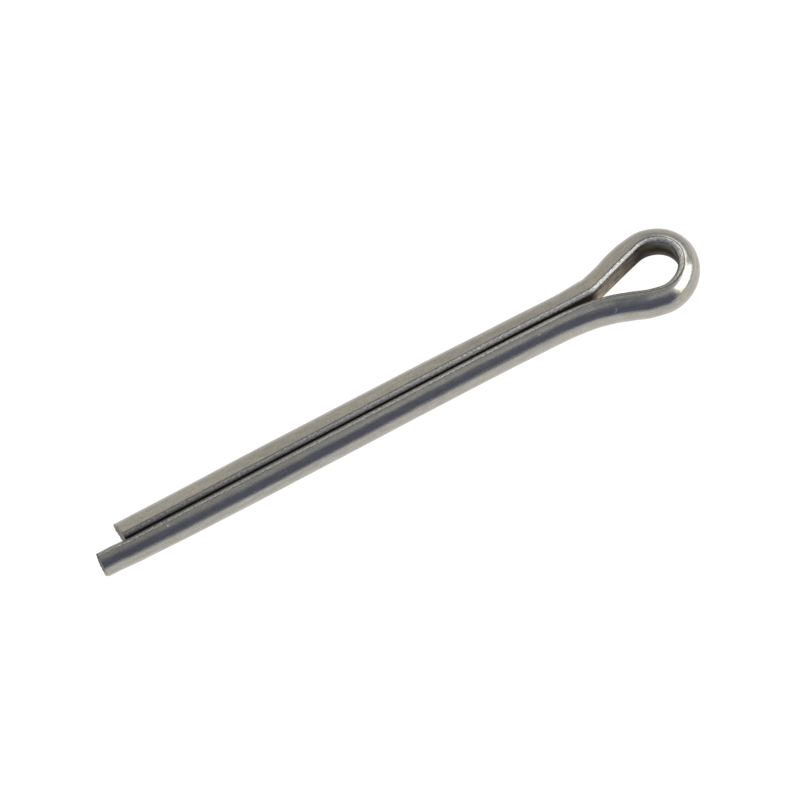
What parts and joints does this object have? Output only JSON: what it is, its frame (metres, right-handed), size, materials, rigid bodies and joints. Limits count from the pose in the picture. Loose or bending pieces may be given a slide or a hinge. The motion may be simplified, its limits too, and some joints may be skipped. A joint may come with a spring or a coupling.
{
  "type": "cotter pin",
  "caption": "Split cotter pin of half-round steel wire, folded flat to flat into a round shank with a teardrop eye and one longer leg.",
  "frame": {"origin": "on the shank's axis, at the end of the round shank, where the neck of the eye begins", "axes": "+X along the shank towards the eye, +Z square to the plane of the eye and upwards as the pin lies, +Y towards the short leg"},
  "size_m": [0.0549, 0.0074, 0.0036],
  "materials": {
    "steel": "plain drawn steel wire, satin, with fine lines along the wire"
  },
  "bodies": {
    "root": {"cotter_pin": "steel"}
  },
  "joints": []
}
